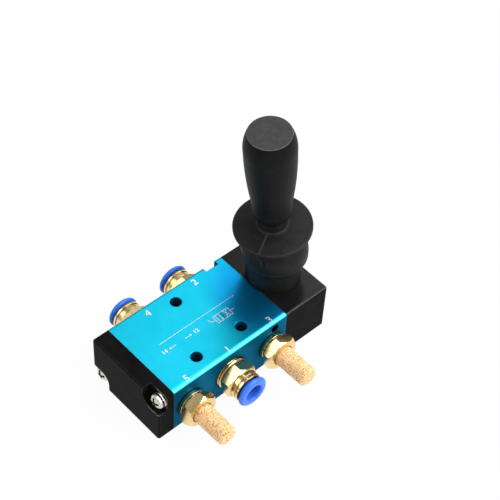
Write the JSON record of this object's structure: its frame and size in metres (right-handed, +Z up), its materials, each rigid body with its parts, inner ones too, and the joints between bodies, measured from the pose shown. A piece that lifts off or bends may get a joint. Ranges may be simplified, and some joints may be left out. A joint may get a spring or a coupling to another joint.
{
  "type": "hand lever air valve",
  "caption": "Five-port, two-position air spool valve worked by a hand lever with a rubber boot, with push-in tube fittings and exhaust silencers.",
  "frame": {"origin": "centre of the valve body's underside", "axes": "+X along the spool towards the lever, +Y towards the two outlet ports, +Z up"},
  "size_m": [0.079, 0.0649, 0.094],
  "materials": {
    "anodised_body": "satin blue anodised",
    "black_housing": "black satin",
    "black_plastic": "black satin",
    "boot_rubber": "black satin",
    "seal_rubber": "smooth",
    "nickel_steel": "nickel plated",
    "bright_steel": "ground",
    "black_steel": "blackened",
    "spool_aluminium": "turned",
    "brass": "turned, bright",
    "sintered_bronze": "sintered, rough",
    "blue_plastic": "moulded"
  },
  "bodies": {
    "valve": {"valve_body": "anodised_body", "end_cap": "black_housing", "end_cap_seal": "seal_rubber", "end_cap_screws": "nickel_steel", "end_cap_washers": "nickel_steel", "lever_housing": "black_housing", "housing_seal": "seal_rubber", "housing_screws": "nickel_steel", "housing_washers": "nickel_steel", "pivot_pin": "bright_steel", "detent_spring": "bright_steel", "detent_plug": "black_steel", "dust_boot": "boot_rubber", "fitting_body_p": "brass", "tube_seal_p": "seal_rubber", "grab_ring_p": "bright_steel", "fitting_body_a": "brass", "tube_seal_a": "seal_rubber", "grab_ring_a": "bright_steel", "fitting_body_b": "brass", "tube_seal_b": "seal_rubber", "grab_ring_b": "bright_steel", "silencer_base_r": "brass", "silencer_element_r": "sintered_bronze", "silencer_base_s": "brass", "silencer_element_s": "sintered_bronze"},
    "spool": {"spool": "spool_aluminium", "spool_seals": "seal_rubber"},
    "lever": {"lever_rod": "bright_steel", "handle_knob": "black_plastic"},
    "detent_ball": {"detent_ball": "bright_steel"},
    "release_collar_p": {"release_collar_p": "blue_plastic"},
    "release_collar_a": {"release_collar_a": "blue_plastic"},
    "release_collar_b": {"release_collar_b": "blue_plastic"}
  },
  "joints": [
    {"name": "lever_tilt", "type": "hinge", "parent": "valve", "child": "lever", "pos_m": [0.03535, 0, 0.0249], "axis": [0, 1, 0], "range_deg": [0, 12], "deforming": ["dust_boot"]},
    {"name": "spool_slide", "type": "slide", "parent": "valve", "child": "spool", "axis": [1, 0, 0], "range_m": [-0.00302, 0]},
    {"name": "detent_slide", "type": "slide", "parent": "valve", "child": "detent_ball", "axis": [0, 1, 0], "range_m": [-0.00035, 0], "stiffness_N_per_m": 200, "springref_m": -0.002, "deforming": ["detent_spring"]},
    {"name": "collar_p_press", "type": "slide", "parent": "valve", "child": "release_collar_p", "axis": [0, 1, 0], "range_m": [0, 0.0006], "stiffness_N_per_m": 300, "springref_m": -0.0005},
    {"name": "collar_a_press", "type": "slide", "parent": "valve", "child": "release_collar_a", "axis": [0, -1, 0], "range_m": [0, 0.0006], "stiffness_N_per_m": 300, "springref_m": -0.0005},
    {"name": "collar_b_press", "type": "slide", "parent": "valve", "child": "release_collar_b", "axis": [0, -1, 0], "range_m": [0, 0.0006], "stiffness_N_per_m": 300, "springref_m": -0.0005}
  ],
  "couplings": [
    {"joint": "spool_slide", "follows": "lever_tilt", "m_per_rad": -0.014374}
  ]
}
